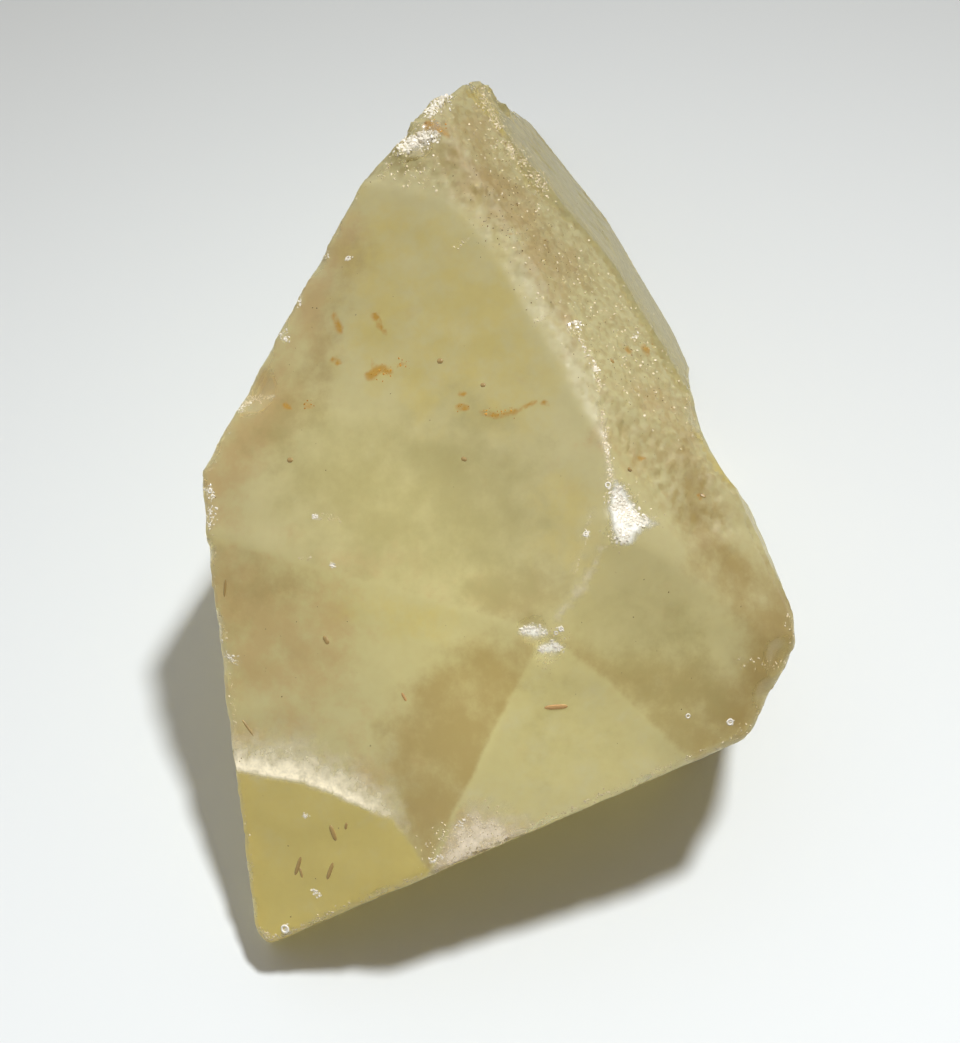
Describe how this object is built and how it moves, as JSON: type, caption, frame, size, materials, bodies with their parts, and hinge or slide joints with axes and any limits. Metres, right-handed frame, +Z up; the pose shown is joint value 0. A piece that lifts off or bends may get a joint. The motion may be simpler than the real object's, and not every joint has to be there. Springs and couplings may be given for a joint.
{
  "type": "lemon quartz point",
  "caption": "Raw lemon quartz point: a stout, translucent yellow-green crystal with a faceted apex, lying on its flat broken base.",
  "frame": {"origin": "middle of the footprint's bounding box, on the flat base face the stone lies on", "axes": "+Z up from the flat base; +Y along the long body towards the narrow tail, so the apex and the front wall look to -Y; +X to the right seen from the apex end"},
  "size_m": [0.0431, 0.0762, 0.0336],
  "materials": {
    "lemon_quartz": "translucent yellow-green quartz with an etched satin skin"
  },
  "bodies": {
    "root": {"crystal": "lemon_quartz"}
  },
  "joints": []
}
